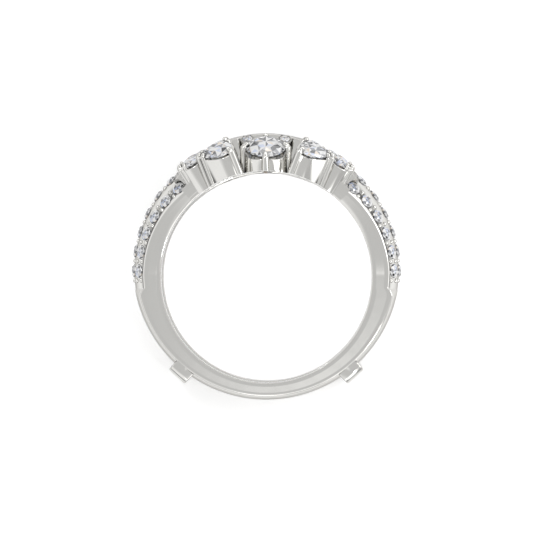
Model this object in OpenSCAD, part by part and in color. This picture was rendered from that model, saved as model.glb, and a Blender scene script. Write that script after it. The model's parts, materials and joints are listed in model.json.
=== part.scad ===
// Ring guard enhancer: two slim bands round one finger, soldered together by two bars at the back and parted at the
// head, so that a plain ring slides in between them. Millimetres. In the ring's own frame the finger runs along Z,
// the head is toward +Y, and everything is mirrored about the planes X = 0 and Z = 0. The finished ring lies on its
// side: place_lying() tips it about X until the feet of the head and the back of the shank stand on z = 0.

/* [Finger hole and bands] */
// Radius of the finger hole
bore_r = 8.65; // [8:0.05:9.4]
// Wall of the bands at the back of the finger
back_wall = 1.39; // [1.1:0.01:1.9]
// How far the middle of the round outline lies toward the head
outline_shift = 0.91; // [0.6:0.01:1.1]
// Half the width across both bands at the back
band_side = 3.35; // [3.1:0.05:3.8]
// Half the slot between the bands, where the plain ring goes
slot_half = 0.95; // [0.8:0.05:1.1]
// How far the edges of the plain shank lie below its crest
dome_drop = 0.35; // [0.15:0.05:0.5]
// Where the plain shank begins to run down to the pave, as an angle from the head
plain_from = 103; // [101:0.5:106]
// Slope of the plain shank's end along the band, in degrees
end_slope = 28; // [24:1:34]
// Slope of the plain shank's end toward the side, in degrees
end_turn = 28; // [24:1:32]

/* [Parting at the head] */
// Half the parting between the bands at the head
parting_half = 2.5; // [2.3:0.05:2.8]
// Half the length of the parting, along X
parting_reach = 8.6; // [8:0.05:8.65]

/* [Shoulders] */
// How far the middle of the shoulders' curve lies below the outline's middle
shoulder_shift = 0.5; // [0.4:0.01:0.7]
// How far the shoulders' crest lies below the plain shank's
shoulder_drop = 0.1; // [0.08:0.01:0.2]
// Distance of the shoulders' crest from the middle plane
crest_side = 1.5; // [1.3:0.05:1.7]
// How fast the shoulders fall off toward the side, per millimetre
shoulder_fall = 0.245; // [0.2:0.005:0.28]
// Height along Y at which the sides begin to flare toward the head
flare_from = 0.3; // [0:0.1:0.8]
// Slope at which the flare begins, in degrees
flare_start = 2; // [1.5:0.1:3]
// Radius of the flare's long curve, seen from the side
flare_r = 55; // [50:1:70]
// Where the shoulders end under the head, as an angle from the head
shoulder_to = 38; // [36:0.5:40]
// Where the pave shoulders end at the back, as an angle from the head
shoulder_from = 97.5; // [96:0.5:99]

/* [Rim of the head] */
// How far the middle of the rim's curve lies above the outline's middle
rim_shift = 1.4; // [1.2:0.05:1.6]
// How far the rim's top lies below the round outline, at the very top
rim_drop = 0.06; // [0:0.01:0.15]
// Slope of the rim's top toward the side
rim_slope = 0.15; // [0.05:0.01:0.25]
// Distance of the rim's side from the middle plane, by the middle stone
rim_side_middle = 3.2; // [3.1:0.01:3.25]
// Distance of the rim's side from the middle plane, behind the pear stones
rim_side = 3.55; // [3.4:0.01:3.6]
// Half the angle of the narrow stretch of the rim
rim_narrow = 11; // [10:0.5:13]
// Where the rim ends, as an angle from the head
rim_to = 44; // [42:0.5:46]
// How far the floor under the stones lies below the round outline
floor_drop = 1.7; // [1.6:0.05:1.9]
// Distance of the floor's edge from the middle plane
floor_side = 4.7; // [4.4:0.05:5]

/* [Bars at the back] */
// Angle of each bar from the head
bar_angle = 138; // [130:1:146]
// Width of a bar round the finger
bar_w = 1.8; // [1.4:0.05:2.2]
// Distance of a bar's outer face from the finger's axis, less the finger hole's radius
bar_rise = 2.29; // [2.1:0.01:2.6]
// Thickness of a bar
bar_t = 0.9; // [0.8:0.05:1.2]
// Radius of the rounded ends of the bars
bar_round = 0.5; // [0.2:0.05:0.55]

/* [Middle stones] */
// Diameter of the round middle stones
round_d = 3.25; // [3:0.05:3.35]
// Distance of the round stones from the middle plane
round_side = 4.7; // [4.65:0.01:4.8]
// How far the round stones' girdles lie below the round outline
round_drop = 1.26; // [1.15:0.01:1.35]
// Tilt of the head's stones toward the side, in degrees
stone_tilt = 29; // [25:0.5:32]

/* [Pear stones] */
// Width of the pear stones
pear_w = 2.4; // [2.1:0.05:2.5]
// Length of the pear stones
pear_l = 2.7; // [2.4:0.05:2.8]
// Angle of the pear stones from the head
pear_angle = 21.6; // [21.4:0.1:22.4]
// Distance of the pear stones from the middle plane
pear_side = 5.3; // [5.25:0.01:5.4]
// How far the pear stones' girdles lie below the round outline
pear_drop = 0.78; // [0.7:0.01:0.9]

/* [Marquise stones] */
// Width of the marquise stones
marquise_w = 1.35; // [1.2:0.05:1.45]
// Length of the marquise stones
marquise_l = 2.2; // [2:0.05:2.3]
// Angle of the marquise stones from the head
marquise_angle = 32.4; // [32.2:0.1:33]
// Distance of the marquise stones from the middle plane
marquise_side = 4.2; // [4.1:0.01:4.25]
// How far the marquise stones' girdles lie below the round outline
marquise_drop = 0.46; // [0.4:0.01:0.55]
// Turn of the marquise stones, outer tip toward the side, in degrees
marquise_turn = 12; // [8:0.5:16]

/* [Accent stones] */
// Diameter of the small accent stones beside the middle stones
accent_d = 0.85; // [0.75:0.01:0.88]
// Angle of the accent stones from the head
accent_angle = 7.7; // [7.5:0.1:8]
// Distance of the accent stones from the middle plane
accent_side = 3.35; // [3.3:0.01:3.4]
// How far the accent stones' girdles lie below the round outline
accent_drop = 0.45; // [0.4:0.01:0.55]
// Tilt of the accent stones toward the side, in degrees
accent_tilt = 36; // [30:1:42]
// Wall of the cups that hold the accent stones
accent_wall = 0.13; // [0.1:0.01:0.16]

/* [Pave stones] */
// Diameter of the pave stones
pave_d = 1.1; // [0.9:0.02:1.14]
// Stones in each row along a shoulder
pave_count = 6; // [4:1:6]
// Angle of the first pair of pave stones, from the head
pave_first = 89.4; // [88:0.1:90]
// Step between the pave stones along the shoulders, in degrees
pave_step = 8.65; // [8.2:0.05:8.7]
// Distance of the inner row from the edge of the slot
inner_row_inset = 0.62; // [0.56:0.01:0.7]
// Distance of the outer row from the flat side
outer_row_inset = 0.58; // [0.56:0.01:0.62]
// Stones of the inner row that go on along the rim
rim_stones = 3; // [0:1:3]
// Angle of the first stone on the rim
rim_stone_first = 39.3; // [38.8:0.1:39.8]
// Step between the stones on the rim, in degrees
rim_stone_step = 9; // [8.6:0.1:9.2]
// Depth of the grooves that hold the rows of pave stones
groove_depth = 0.62; // [0.58:0.01:0.7]

/* [Cut of the stones] */
// Crown height as a share of a stone's width
crown_share = 0.15; // [0.12:0.005:0.18]
// Pavilion depth as a share of a stone's width
pavilion_share = 0.42; // [0.38:0.005:0.45]
// Table size as a share of a stone's size
table_share = 0.58; // [0.5:0.01:0.66]
// Thickness of a girdle
girdle_t = 0.08; // [0.05:0.01:0.12]

/* [Baskets and claws] */
// Wall of a basket outside its stone
basket_wall = 0.16; // [0.12:0.01:0.2]
// Size of the open well under a stone, as a share of the stone
well_share = 0.64; // [0.6:0.01:0.7]
// Depth of the pocket round a stone's girdle, as a share of the pavilion
pocket_share = 0.45; // [0.42:0.01:0.6]
// How far a basket's top lies below the girdle
seat_drop = 0.12; // [0.08:0.01:0.2]
// Radius of the columns in the basket walls
column_r = 0.32; // [0.26:0.01:0.36]
// How far the middles of the claws lie outside the girdle
claw_reach = 0.14; // [0.1:0.01:0.16]
// Radius of the claws
claw_r = 0.24; // [0.2:0.01:0.28]
// Height of the claws above the girdle
claw_rise = 0.3; // [0.24:0.01:0.36]
// Radius of the round posts that make up a V claw
v_claw_r = 0.2; // [0.16:0.01:0.23]
// Length of the arms of a V claw
v_claw_arm = 0.6; // [0.45:0.01:0.7]
// Angle of the pears' two round claws from the long axis, at the blunt end
pear_claw_angle = 38; // [34:1:44]
// Half the angle of the V claws on the pears
pear_v_angle = 42; // [38:1:46]
// Half the angle of the V claws on the marquises
marquise_v_angle = 32; // [28:1:36]

/* [Clearances] */
// Gap between a stone and the metal round it
stone_gap = 0.03; // [0.02:0.005:0.05]
// Gap between a row of pave stones and the sides of its groove
groove_gap = 0.03; // [0.02:0.005:0.04]

/* [Hidden] */
arc_fn = 96;
gem_sides = 16;
eps = 0.01;
overlap = 0.5;
seat_flat = 0.1;
cut_size = 10;
basket_depth = 4;
claw_root = 0.3;
metal_colour = [0.78, 0.77, 0.75];
stone_colour = [0.86, 0.9, 0.96];
accent_colour = [0.78, 0.86, 0.98];
outline_r = bore_r + back_wall + outline_shift;
inside_r = bore_r - outline_shift - overlap;
shoulder_r = outline_r - shoulder_drop;
shoulder_y = outline_shift - shoulder_shift;
rim_y = outline_shift + rim_shift;
rim_r = outline_r - rim_drop - rim_shift;
parting_r = (pow(parting_reach, 2) + pow(parting_half - slot_half, 2)) / (2 * (parting_half - slot_half));
head_y = bore_r + outline_shift;
tall = 40;

// Radius of the round outline, measured from the finger's axis at an angle from the head
function outline_at(angle) = outline_shift * cos(angle)
    + sqrt(pow(outline_r, 2) - pow(outline_shift * sin(angle), 2));

// Radius of the shoulders' surface at a distance from the middle plane
function shoulder_at(side) = shoulder_r - shoulder_fall * pow(side - crest_side, 2);

// Half the slot between the bands at a place along X
function slot_at(x) = max(slot_half, parting_half - (parting_r - sqrt(pow(parting_r, 2) - x * x)));

// Distance of the flat sides from the middle plane at a height along Y
function flare_centre_y() = flare_from - flare_r * sin(flare_start);
function flare_centre_z() = band_side + flare_r * cos(flare_start);
function side_at(y) = y < flare_from ? band_side
    : flare_centre_z() - sqrt(pow(flare_r, 2) - pow(y - flare_centre_y(), 2));

// Place of a pave stone across the shoulder, for each row
function inner_row_side(angle) = slot_at(shoulder_r * sin(angle)) + inner_row_inset;
function outer_row_side(angle) = side_at(shoulder_y + (shoulder_r - 1) * cos(angle)) - outer_row_inset;

// Outlines of the stones, gem_sides points each, the long way along X
function round_outline(d) = [for (i = [0:gem_sides - 1]) let (a = i * 360 / gem_sides)
    [d / 2 * cos(a), d / 2 * sin(a)]];
function pear_outline(l, w) = [for (i = [0:gem_sides - 1]) pear_point(i * 360 / gem_sides, l, w)];
function pear_point(a, l, w) = [l / 2 * cos(a), w / 2 * sin(a) * sin(a / 2) / 0.7698];
function marquise_outline(l, w) = [for (i = [0:gem_sides - 1]) let (a = i * 360 / gem_sides, x = l / 2 * cos(a),
    arc = (l * l + w * w) / (4 * w))
    [x, sign(sin(a) + eps * eps) * (sqrt(arc * arc - x * x) - arc + w / 2)]];

// A cut stone: table, crown, girdle and pavilion over any outline, its girdle's middle at z = 0
module gem(outline, width) {
    n = len(outline);
    crown = crown_share * width;
    pavilion = pavilion_share * width;
    edge = girdle_t / 2;
    star_share = 1 - 0.53 * (1 - table_share);
    points = concat(
        [for (i = [0:2:n - 1]) ring_point(outline[i], table_share, edge + crown)],
        [for (i = [1:2:n - 1]) ring_point(outline[i], star_share, edge + 0.66 * crown)],
        [for (p = outline) ring_point(p, 1, edge)],
        [for (p = outline) ring_point(p, 1, -edge)],
        [for (i = [1:2:n - 1]) ring_point(outline[i], 0.24, -edge - 0.77 * pavilion)],
        [[0, 0, -edge - pavilion]]);
    h = n / 2;
    star = h;
    top = 2 * h;
    low = top + n;
    deep = low + n;
    culet = deep + h;
    faces = concat(
        [[for (i = [h - 1:-1:0]) i]],
        [for (i = [0:h - 1]) [i, (i + 1) % h, star + i]],
        [for (i = [0:h - 1]) each [
            [i, star + i, top + 2 * i],
            [i, top + 2 * i, star + (i + h - 1) % h],
            [star + i, top + 2 * i + 1, top + 2 * i],
            [star + i, top + (2 * i + 2) % n, top + 2 * i + 1]]],
        [for (i = [0:n - 1]) let (j = (i + 1) % n) each [
            [top + i, top + j, low + j],
            [top + i, low + j, low + i]]],
        [for (i = [0:h - 1]) each [
            [deep + i, low + 2 * i, low + 2 * i + 1],
            [deep + i, low + 2 * i + 1, low + (2 * i + 2) % n],
            [culet, low + 2 * i, deep + i],
            [culet, deep + (i + h - 1) % h, low + 2 * i]]]);
    polyhedron(points = points, faces = faces, convexity = 2);
}
function ring_point(p, share, z) = [p[0] * share, p[1] * share, z];

// A small pave stone: eight sides, table, crown, girdle and pavilion
module small_gem(d) {
    edge = girdle_t / 2;
    ring = [for (i = [0:7]) [d / 2 * cos(i * 45), d / 2 * sin(i * 45)]];
    points = concat(
        [for (p = ring) ring_point(p, table_share, edge + crown_share * d)],
        [for (p = ring) ring_point(p, 1, edge)],
        [for (p = ring) ring_point(p, 1, -edge)],
        [[0, 0, -edge - pavilion_share * d]]);
    faces = concat(
        [[for (i = [7:-1:0]) i]],
        [for (i = [0:7]) let (j = (i + 1) % 8) each [
            [i, j, 8 + j], [i, 8 + j, 8 + i],
            [8 + i, 8 + j, 16 + j], [8 + i, 16 + j, 16 + i],
            [16 + i, 16 + j, 24]]]);
    polyhedron(points = points, faces = faces, convexity = 2);
}

// Seat of a round stone: its pavilion and girdle with the gap added, open above, with a small flat at the bottom
module seat(d) {
    r = d / 2 + stone_gap;
    edge = girdle_t / 2 + stone_gap;
    bottom = -edge - pavilion_share * d;
    rotate_extrude($fn = 24)
        polygon([[0, bottom], [seat_flat, bottom], [r, -edge], [r, 1], [0, 1]]);
}

// Places of the head's stones: x runs round the finger, z points outward, -y toward the side
module at_head(angle, drop, side) {
    rotate([0, 0, -angle])
        translate([0, outline_at(angle) - drop, side])
            rotate([-90, 0, 0])
                children();
}
module at_round() at_head(0, round_drop, round_side) children();
module at_pear() at_head(pear_angle, pear_drop, pear_side) children();
module at_marquise() at_head(marquise_angle, marquise_drop, marquise_side) children();
module at_accent() at_head(accent_angle, accent_drop, accent_side) rotate([accent_tilt, 0, 0]) children();

// Places along the shoulders and the rim, z along the surface's normal
module at_shoulder(angle, side) {
    translate([0, shoulder_y, 0])
        rotate([0, 0, -angle])
            translate([0, shoulder_at(side), side])
                rotate([-90, 0, 0])
                    rotate([atan(2 * shoulder_fall * (side - crest_side)), 0, 0])
                        children();
}
module at_rim(angle, side) {
    translate([0, rim_y, 0])
        rotate([0, 0, -angle])
            translate([0, rim_top(side), side])
                rotate([-90, 0, 0])
                    rotate([atan(rim_slope), 0, 0])
                        children();
}

// Angle about the rim's own middle of a place given as an angle about the outline's middle
function rim_angle(angle) = let (r = outline_r - rim_drop)
    atan2(r * sin(angle), r * cos(angle) - rim_shift);
function rim_stone_angle(i) = rim_angle(rim_stone_first - i * rim_stone_step);
function rim_stone_side(i) = (slot_at(outline_r * sin(rim_stone_first - i * rim_stone_step)) + rim_side) / 2;

// One quarter's pave stones along the shoulder and along the rim: the children at every place
module each_shoulder_place() {
    for (i = [0:pave_count - 1]) {
        angle = pave_first - i * pave_step;
        at_shoulder(angle, inner_row_side(angle)) children();
        at_shoulder(angle, outer_row_side(angle)) children();
    }
}
module each_rim_place() {
    if (rim_stones > 0)
        for (i = [0:rim_stones - 1])
            at_rim(rim_stone_angle(i), rim_stone_side(i)) children();
}

// Grooves along the shoulder, one for each row of pave stones
module pave_grooves() {
    wide = pave_d + 2 * groove_gap;
    lean = atan(2 * shoulder_fall * (band_side - outer_row_inset - crest_side));
    tilted = wide * cos(lean) + girdle_t * sin(lean);
    intersection() {
        groove_ring();
        rotate([-90, 0, 0]) linear_extrude(tall, center = true) {
            translate([parting_reach - overlap, -slot_half - inner_row_inset - wide / 2]) square([tall, wide]);
            difference() {
                translate([0, parting_r - parting_half - inner_row_inset - wide / 2]) circle(parting_r, $fn = 360);
                translate([0, parting_r - parting_half - inner_row_inset + wide / 2]) circle(parting_r, $fn = 360);
                translate([parting_reach - 4 * groove_gap, -tall]) square(2 * tall);
            }
        }
    }
    intersection() {
        groove_ring();
        side_strip(outer_row_inset - tilted / 2, outer_row_inset + tilted / 2);
    }
}
module groove_ring() {
    first = pave_first + pave_step / 2;
    last = pave_first - (pave_count - 0.5) * pave_step;
    far = side_at(head_y) + overlap;
    translate([0, shoulder_y, 0])
        rotate([0, 0, 90 - first])
            rotate_extrude(angle = first - last, $fn = arc_fn)
                polygon(concat([for (i = [0:6]) let (side = slot_half + (far - slot_half) * i / 6)
                    [groove_floor(side), side]], [[outline_r + overlap, far], [outline_r + overlap, slot_half]]));
}
// The grooves' floor lies groove_depth under the shoulders' surface, square to it
function groove_floor(side) = shoulder_at(side)
    - groove_depth * sqrt(1 + pow(2 * shoulder_fall * (side - crest_side), 2));

// Section of the plain shank, [radius about the outline's middle, distance from the middle plane]
function dome_points() = let (middle = (slot_half + band_side) / 2, half = (band_side - slot_half) / 2)
    [for (i = [0:8]) let (t = i / 4 - 1) [outline_r - dome_drop * t * t, middle + half * t]];

// Section of the shoulders about their own middle, from the slot to the plain shank's side
function fall_points() = [for (i = [0:8]) let (side = slot_half + (band_side - slot_half) * i / 8)
    [shoulder_at(side), side]];

// The plain shank of the front band, at the back of the finger, its ends sloped down to the pave
module plain_shank() {
    span = 360 - 2 * (shoulder_from - overlap);
    difference() {
        translate([0, outline_shift, 0])
            rotate([0, 0, 270 - span / 2])
                rotate_extrude(angle = span, $fn = arc_fn)
                    polygon(concat([[inside_r, slot_half]], dome_points(), [[inside_r, band_side]]));
        right_and_left()
            translate([0, outline_shift, 0])
                rotate([0, 0, -plain_from])
                    translate([0, outline_r - dome_drop, band_side])
                        rotate([-90, 0, 0])
                            rotate([end_turn, -end_slope, 0])
                                translate([-4, -2, 0]) cube([5, 6, 2]);
    }
}

// The right shoulder of the front band, flared toward the head
module shoulder() {
    deep = side_at(head_y) + 0.3;
    flared = [for (i = [1:4]) let (side = band_side + (deep - band_side) * i / 4) [shoulder_at(side), side]];
    intersection() {
        translate([0, shoulder_y, 0])
            rotate([0, 0, 90 - shoulder_from])
                rotate_extrude(angle = shoulder_from - shoulder_to, $fn = arc_fn)
                    polygon(concat([[inside_r, slot_half]], fall_points(), flared, [[inside_r, deep]]));
        side_strip(0, 5);
    }
}

// Everything between two distances inside the flat sides, which curve outward toward the head
module side_strip(near, far) {
    translate([tall / 2, 0, 0])
        rotate([0, -90, 0])
            linear_extrude(tall)
                difference() {
                    flat_side(near);
                    flat_side(far);
                }
}
module flat_side(inset) {
    translate([-inset, 0])
        difference() {
            translate([-5, -tall / 2]) square([band_side + 8, tall]);
            translate([band_side, -tall]) square([tall, tall + flare_from]);
            intersection() {
                translate([flare_centre_z(), flare_centre_y()]) circle(flare_r, $fn = 360);
                translate([0, flare_from]) square(tall);
            }
        }
}

// Inner rim of the head, narrower by the middle stone, with the floor under the stones, over both halves
module rim() {
    difference() {
        rim_arc(rim_to) polygon([[inside_r - rim_shift, slot_half], [rim_top(slot_half), slot_half],
            [rim_top(rim_side), rim_side], [inside_r - rim_shift, rim_side]]);
        rim_arc(rim_narrow) translate([0, rim_side_middle]) square([rim_r + overlap, cut_size]);
    }
    translate([0, outline_shift, 0])
        rotate([0, 0, 90 - rim_to])
            rotate_extrude(angle = 2 * rim_to, $fn = arc_fn)
                translate([inside_r, slot_half])
                    square([outline_r - floor_drop - inside_r, floor_side - slot_half]);
}
module rim_arc(to) {
    translate([0, rim_y, 0])
        rotate([0, 0, 90 - rim_angle(to)])
            rotate_extrude(angle = 2 * rim_angle(to), $fn = arc_fn)
                children();
}
function rim_top(side) = rim_r - rim_slope * (side - parting_half);

// A basket's block: the stone's outline with a wall round it, seen along the basket, cut off below the girdle
module basket(outline) {
    difference() {
        translate([0, 0, -basket_depth])
            linear_extrude(basket_depth + 1.5)
                polygon([for (p = outline) [p[0], p[1] * cos(stone_tilt)]]);
        above_girdle();
    }
}
module above_girdle() {
    rotate([stone_tilt, 0, 0]) translate([-cut_size / 2, -cut_size / 2, -seat_drop]) cube(cut_size);
}

// A column of the basket wall under one point of the girdle, down through the finger hole's wall
module column(p, r) {
    top = p[1] * sin(stone_tilt) - seat_drop;
    translate([p[0], p[1] * cos(stone_tilt), -basket_depth]) cylinder(h = basket_depth + top, r = r, $fn = 12);
}

// A round claw over one point of the girdle, with a stepped tip
module claw(p, r) {
    rotate([stone_tilt, 0, 0])
        translate([p[0], p[1], -seat_drop - claw_root]) {
            cylinder(h = claw_root + seat_drop + claw_rise, r = r, $fn = 12);
            cylinder(h = claw_root + seat_drop + claw_rise + r * 0.6, r = r * 0.66, $fn = 12);
        }
}

// A V claw round a tip, two arms in one piece, over the girdle and down the basket
module v_claw(tip, turn, half_angle) {
    plan = v_outline(tip, turn, half_angle);
    rotate([stone_tilt, 0, 0])
        translate([0, 0, -seat_drop - claw_root])
            linear_extrude(claw_root + seat_drop + claw_rise) polygon(plan);
    translate([0, 0, -basket_depth])
        linear_extrude(basket_depth + tip[1] * sin(stone_tilt) - seat_drop)
            polygon([for (p = plan) [p[0], p[1] * cos(stone_tilt)]]);
}
function arrow(angle, length) = [length * cos(angle), length * sin(angle)];
function v_outline(tip, turn, half_angle) = let (r = v_claw_r, one = turn + 180 + half_angle,
    other = turn + 180 - half_angle) [
    tip + arrow(one, v_claw_arm) + arrow(one + 90, r),
    tip + arrow(one + 90, r),
    tip + arrow(turn, r),
    tip + arrow(other - 90, r),
    tip + arrow(other, v_claw_arm) + arrow(other - 90, r),
    tip + arrow(other, v_claw_arm + r * 0.8),
    tip + arrow(other, v_claw_arm) - arrow(other - 90, r),
    tip + arrow(turn + 180, r / sin(half_angle)),
    tip + arrow(one, v_claw_arm) - arrow(one + 90, r),
    tip + arrow(one, v_claw_arm + r * 0.8)];

// Space of a stone in its basket: an open pocket round the girdle and a narrower well through to the finger hole
module pocket(outline, width) {
    wide = 1 + 2 * stone_gap / width;
    rotate([stone_tilt, 0, 0]) {
        translate([0, 0, -girdle_t / 2 - pocket_share * pavilion_share * width])
            linear_extrude(3) polygon([for (p = outline) p * wide]);
        translate([0, 0, -basket_depth])
            linear_extrude(basket_depth) polygon([for (p = outline) p * well_share * wide]);
    }
}

// Places of the claws, just outside the girdles
round_claws = [for (a = [0:90:270]) arrow(a, round_d / 2 + claw_reach)];
pear_claws = [for (a = [180 - pear_claw_angle, 180 + pear_claw_angle])
    pear_point(a, pear_l + 2 * claw_reach, pear_w + 2 * claw_reach)];
pear_tip = [pear_l / 2 + claw_reach, 0];
marquise_tip = [marquise_l / 2 + claw_reach, 0];

// Plan of the marquise stones, turned in their own plane
function turned(outline, angle) = [for (p = outline)
    [p[0] * cos(angle) - p[1] * sin(angle), p[0] * sin(angle) + p[1] * cos(angle)]];

module round_setting() {
    at_round() {
        basket(round_outline(round_d + 2 * basket_wall));
        for (p = round_claws) {
            column(p, column_r);
            claw(p, claw_r);
        }
    }
}
module pear_setting() {
    at_pear() {
        basket(pear_outline(pear_l + 2 * basket_wall, pear_w + 2 * basket_wall));
        for (p = pear_claws) {
            column(p, column_r);
            claw(p, claw_r);
        }
        v_claw(pear_tip, 0, pear_v_angle);
    }
}
module marquise_setting() {
    at_marquise() {
        basket(turned(marquise_outline(marquise_l + 2 * basket_wall, marquise_w + 2 * basket_wall),
            -marquise_turn));
        v_claw(turned([marquise_tip], -marquise_turn)[0], -marquise_turn, marquise_v_angle);
    }
}
module accent_setting() {
    at_accent()
        translate([0, 0, -0.7]) cylinder(h = 0.72, r = accent_d / 2 + stone_gap + accent_wall, $fn = 32);
}

// Stones' spaces in the settings
module head_cuts() {
    at_round() pocket(round_outline(round_d), round_d);
    right_and_left() {
        at_pear() pocket(pear_outline(pear_l, pear_w), pear_w);
        at_marquise() pocket(turned(marquise_outline(marquise_l, marquise_w), -marquise_turn), marquise_w);
        at_accent() seat(accent_d);
        each_rim_place() seat(pave_d);
        pave_grooves();
    }
}

// A piece with the finger hole cut out of it
module bored() {
    difference() {
        children();
        cylinder(h = tall, r = bore_r, center = true, $fn = arc_fn);
    }
}

// The front band whole: shank, shoulders, rim, settings and beads, less the stones' spaces
module front_band() {
    difference() {
        union() {
            bored() plain_shank();
            bored() rim();
            bored() round_setting();
            right_and_left() {
                bored() shoulder();
                bored() pear_setting();
                bored() marquise_setting();
                accent_setting();
            }
        }
        parting_space();
        head_cuts();
    }
}

// A bar across both bands, with rounded ends
module bar() {
    outer = bore_r + bar_rise;
    inner = outer - bar_t;
    corner = [for (i = [0:6]) let (a = i * 15) [outer - bar_round + bar_round * cos(a),
        band_side - bar_round + bar_round * sin(a)]];
    half = concat([[inner, band_side]], [for (i = [6:-1:0]) corner[i]]);
    outline = concat(half, [for (i = [len(half) - 1:-1:0]) [half[i][0], -half[i][1]]]);
    rotate([0, 0, 90])
        translate([0, -bar_w / 2, 0])
            rotate([-90, 0, 0])
                linear_extrude(bar_w)
                    polygon([for (p = outline) [p[0], -p[1]]]);
}

module right_and_left() {
    children();
    mirror([1, 0, 0]) children();
}
module front_and_back() {
    children();
    mirror([0, 0, 1]) children();
}

// The lens between the parted bands
module parting_space() {
    rotate([-90, 0, 0])
        linear_extrude(tall / 2)
            intersection() {
                translate([0, parting_r - parting_half]) circle(parting_r, $fn = 360);
                translate([0, parting_half - parting_r]) circle(parting_r, $fn = 360);
            }
}

// Angle and height at which the ring lies on its side
foot_side = round_side + (round_d / 2 + claw_reach) * cos(stone_tilt) + column_r;
back_edge = bore_r + back_wall - dome_drop;
lie = atan((foot_side - band_side) / (bore_r + back_edge));
lift = foot_side * cos(lie) - bore_r * sin(lie);
top_y = outline_at(0) * cos(lie) + rim_side * sin(lie);
low_y = -(bore_r + back_wall) * cos(lie) - (slot_half + band_side) / 2 * sin(lie);
module place_lying() {
    translate([0, -(top_y + low_y) / 2, lift]) rotate([lie, 0, 0]) children();
}
module quarter(front, right) {
    place_lying() mirror([0, 0, front ? 0 : 1]) mirror([right ? 0 : 1, 0, 0]) children();
}

module guard_metal() {
    color(metal_colour)
        place_lying() {
            front_and_back() front_band();
            right_and_left() rotate([0, 0, -bar_angle]) bar();
        }
}

module round_stone(front) {
    color(stone_colour) quarter(front, true) at_round() rotate([stone_tilt, 0, 0])
        gem(round_outline(round_d), round_d);
}
module pear_stone(front, right) {
    color(stone_colour) quarter(front, right) at_pear() rotate([stone_tilt, 0, 0])
        gem(pear_outline(pear_l, pear_w), pear_w);
}
module marquise_stone(front, right) {
    color(stone_colour) quarter(front, right) at_marquise() rotate([stone_tilt, 0, 0])
        rotate([0, 0, -marquise_turn]) gem(marquise_outline(marquise_l, marquise_w), marquise_w);
}
module accent_stone(front, right) {
    color(accent_colour) quarter(front, right) at_accent() small_gem(accent_d);
}
module pave_stones(front, right) {
    color(stone_colour) quarter(front, right) {
        each_shoulder_place() small_gem(pave_d);
        each_rim_place() small_gem(pave_d);
    }
}

guard_metal();
round_stone(true);  // round_front
round_stone(false);  // round_back
pear_stone(true, true);  // pear_front_right
pear_stone(true, false);  // pear_front_left
pear_stone(false, true);  // pear_back_right
pear_stone(false, false);  // pear_back_left
marquise_stone(true, true);  // marquise_front_right
marquise_stone(true, false);  // marquise_front_left
marquise_stone(false, true);  // marquise_back_right
marquise_stone(false, false);  // marquise_back_left
accent_stone(true, true);  // accent_front_right
accent_stone(true, false);  // accent_front_left
accent_stone(false, true);  // accent_back_right
accent_stone(false, false);  // accent_back_left
pave_stones(true, true);  // pave_front_right
pave_stones(true, false);  // pave_front_left
pave_stones(false, true);  // pave_back_right
pave_stones(false, false);  // pave_back_left
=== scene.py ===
"""Ring guard: the fine form and finish of its metal and stones, with the floor, the light and the camera."""

import json
from math import atan, atan2, ceil, copysign, cos, degrees, modf, pi, radians, sin, sqrt, tan, tau

import bmesh
import bpy
from bpy.props import FloatProperty, FloatVectorProperty, IntProperty, PointerProperty
from mathutils import Matrix, Vector


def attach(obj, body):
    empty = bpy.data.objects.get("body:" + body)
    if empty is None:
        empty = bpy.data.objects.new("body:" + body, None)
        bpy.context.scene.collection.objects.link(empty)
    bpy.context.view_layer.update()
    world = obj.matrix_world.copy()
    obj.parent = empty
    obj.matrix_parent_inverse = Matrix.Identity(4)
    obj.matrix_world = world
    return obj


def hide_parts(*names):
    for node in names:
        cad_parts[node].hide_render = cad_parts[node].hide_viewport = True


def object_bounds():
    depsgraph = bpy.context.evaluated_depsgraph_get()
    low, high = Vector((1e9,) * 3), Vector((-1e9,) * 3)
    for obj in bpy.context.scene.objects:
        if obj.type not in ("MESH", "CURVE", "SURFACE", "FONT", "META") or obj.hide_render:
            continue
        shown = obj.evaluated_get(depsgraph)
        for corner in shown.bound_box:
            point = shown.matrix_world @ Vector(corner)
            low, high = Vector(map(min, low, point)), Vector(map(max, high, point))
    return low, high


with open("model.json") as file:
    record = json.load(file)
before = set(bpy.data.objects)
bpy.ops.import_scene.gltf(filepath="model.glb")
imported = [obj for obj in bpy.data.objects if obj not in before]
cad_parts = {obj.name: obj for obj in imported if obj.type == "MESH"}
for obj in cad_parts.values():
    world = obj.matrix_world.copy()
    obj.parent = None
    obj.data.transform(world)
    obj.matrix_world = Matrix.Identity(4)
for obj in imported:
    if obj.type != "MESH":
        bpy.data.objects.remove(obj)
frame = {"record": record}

bl_info = {
    "name": "Ring guard finish",
    "version": (1, 0, 0),
    "blender": (4, 5, 0),
    "location": "View3D > Sidebar > Ring",
    "description": "Fine metal, claws, beads and cut stones for a ring guard, with its studio",
    "category": "Object",
}

MM = 0.001
HOLE = next(mount for mount in frame["record"]["mounts"] if mount["name"] == "finger_bore")
HOLE_RADIUS = HOLE["dims"]["r_mm"] * MM
CAD_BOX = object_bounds()
BODY = "root"


def length(name, millimetres, description):
    return FloatProperty(
        name=name, description=description, default=millimetres * MM, unit="LENGTH", precision=5
    )


def angle(name, value, description):
    return FloatProperty(name=name, description=description, default=radians(value), unit="ROTATION")


def share(name, value, description):
    return FloatProperty(name=name, description=description, default=value, min=0.0)


def tone(name, value, description):
    return FloatVectorProperty(
        name=name, description=description, default=value, subtype="COLOR", size=3, min=0.0, max=1.0
    )


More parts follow.
